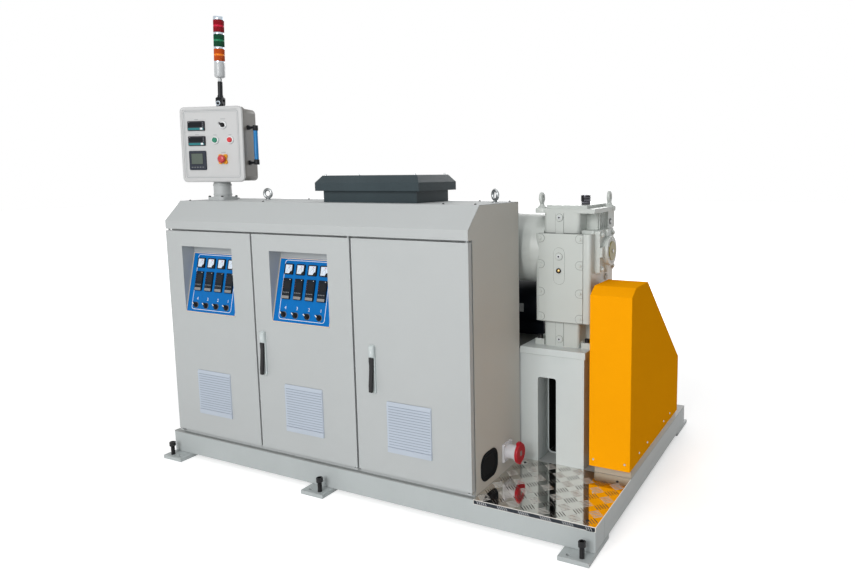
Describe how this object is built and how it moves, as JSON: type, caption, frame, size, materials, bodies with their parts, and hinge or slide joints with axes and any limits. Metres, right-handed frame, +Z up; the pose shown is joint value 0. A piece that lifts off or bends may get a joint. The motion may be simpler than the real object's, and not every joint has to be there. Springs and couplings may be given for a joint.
{
  "type": "plastic extruder",
  "caption": "Single screw plastic extruder on a steel base: control cabinet with doors, swivelling operating head and signal tower, gearbox on a pedestal and belt guard",
  "frame": {"origin": "on the floor under the middle of the machine's outer box", "axes": "+X to the right along the machine, the doors face -Y, +Z up"},
  "size_m": [2.311, 1.634, 2.2272],
  "materials": {
    "base_paint": "satin light grey paint",
    "cabinet_paint": "light grey textured paint",
    "slate_paint": "dark slate paint",
    "inner_plate": "zinc coated sheet",
    "panel_blue": "blue foil",
    "instrument_black": "black plastic",
    "grille_plastic": "pale grey plastic",
    "handle_plastic": "grey plastic",
    "deck_aluminium": "bright tread plate",
    "deck_paint": "grey painted sheet",
    "bolt_black": "blackened steel",
    "bolt_zinc": "zinc plated steel",
    "gearbox_paint": "pale grey green paint on casting",
    "cap_olive": "olive yellow paint",
    "guard_yellow": "orange yellow paint",
    "machined_steel": "machined steel",
    "motor_black": "black paint",
    "blower_black": "black housing",
    "gland_rubber": "black rubber",
    "socket_red": "red and grey plastic",
    "head_paint": "light grey textured paint",
    "head_side_paint": "brown grey paint",
    "button_plastic": "coloured push buttons",
    "bar_blue": "blue anodised bar on black ends",
    "tower_grey": "grey plastic and bright rings",
    "tower_black": "black plastic",
    "tower_lens": "red, green and orange lenses"
  },
  "bodies": {
    "base": {"long_beams": "base_paint", "cross_beams": "base_paint", "foot_plates": "base_paint", "levelling_bolts": "bolt_black", "tread_plate": "deck_aluminium", "deck_sheet": "deck_paint", "side_panels": "cabinet_paint", "back_panel": "cabinet_paint", "roof": "cabinet_paint", "front_frame": "cabinet_paint", "mounting_plate": "inner_plate", "vent_collar": "slate_paint", "vent_hood": "slate_paint", "lifting_eyes": "bolt_zinc", "cable_gland": "gland_rubber", "power_socket": "socket_red", "head_support": "cabinet_paint", "pedestal": "cabinet_paint", "pedestal_top": "cabinet_paint", "gearbox_housing": "gearbox_paint", "gearbox_cover": "gearbox_paint", "bearing_flange": "gearbox_paint", "shaft_cap": "cap_olive", "bell_housing": "gearbox_paint", "feed_section": "machined_steel", "barrel": "machined_steel", "barrel_cover": "cabinet_paint", "barrel_stand": "cabinet_paint", "cooling_blower": "blower_black", "belt_guard": "guard_yellow", "guard_sill": "base_paint", "drive_motor": "motor_black", "gearbox_eyes": "gearbox_paint", "breather": "bolt_zinc"},
    "door_1": {"door_1": "cabinet_paint", "console_housing_1": "cabinet_paint", "console_panel_1": "panel_blue", "console_instruments_1": "instrument_black", "filter_grille_1": "grille_plastic"},
    "door_2": {"door_2": "cabinet_paint", "console_housing_2": "cabinet_paint", "console_panel_2": "panel_blue", "console_instruments_2": "instrument_black", "filter_grille_2": "grille_plastic", "swing_handle_2": "handle_plastic"},
    "door_3": {"door_3": "cabinet_paint", "filter_grille_3": "grille_plastic", "swing_handle_3": "handle_plastic"},
    "operating_head": {"swivel_ring": "tower_black", "control_box": "head_side_paint", "control_box_lid": "head_paint", "head_meters": "instrument_black", "head_buttons": "button_plastic", "head_handle": "bar_blue", "tower_foot": "tower_black"},
    "signal_tower": {"tower_pole": "tower_black", "tower_body": "tower_grey", "tower_lenses": "tower_lens"}
  },
  "joints": [
    {"name": "door_1_hinge", "type": "hinge", "parent": "base", "child": "door_1", "pos_m": [-1.091, -0.739, 0.657], "axis": [0, 0, -1], "range_deg": [0, 120]},
    {"name": "door_2_hinge", "type": "hinge", "parent": "base", "child": "door_2", "pos_m": [0.03, -0.739, 0.657], "axis": [0, 0, 1], "range_deg": [0, 90]},
    {"name": "door_3_hinge", "type": "hinge", "parent": "base", "child": "door_3", "pos_m": [0.61, -0.739, 0.657], "axis": [0, 0, 1], "range_deg": [0, 120]},
    {"name": "head_swivel", "type": "hinge", "parent": "base", "child": "operating_head", "pos_m": [-0.979, -0.498, 1.405], "axis": [0, 0, 1], "range_deg": [-120, 90]},
    {"name": "tower_fold", "type": "hinge", "parent": "operating_head", "child": "signal_tower", "pos_m": [-0.98595, -0.47208, 1.79659], "axis": [0.2588, -0.9658, 0.0175], "range_deg": [0, 90]}
  ]
}
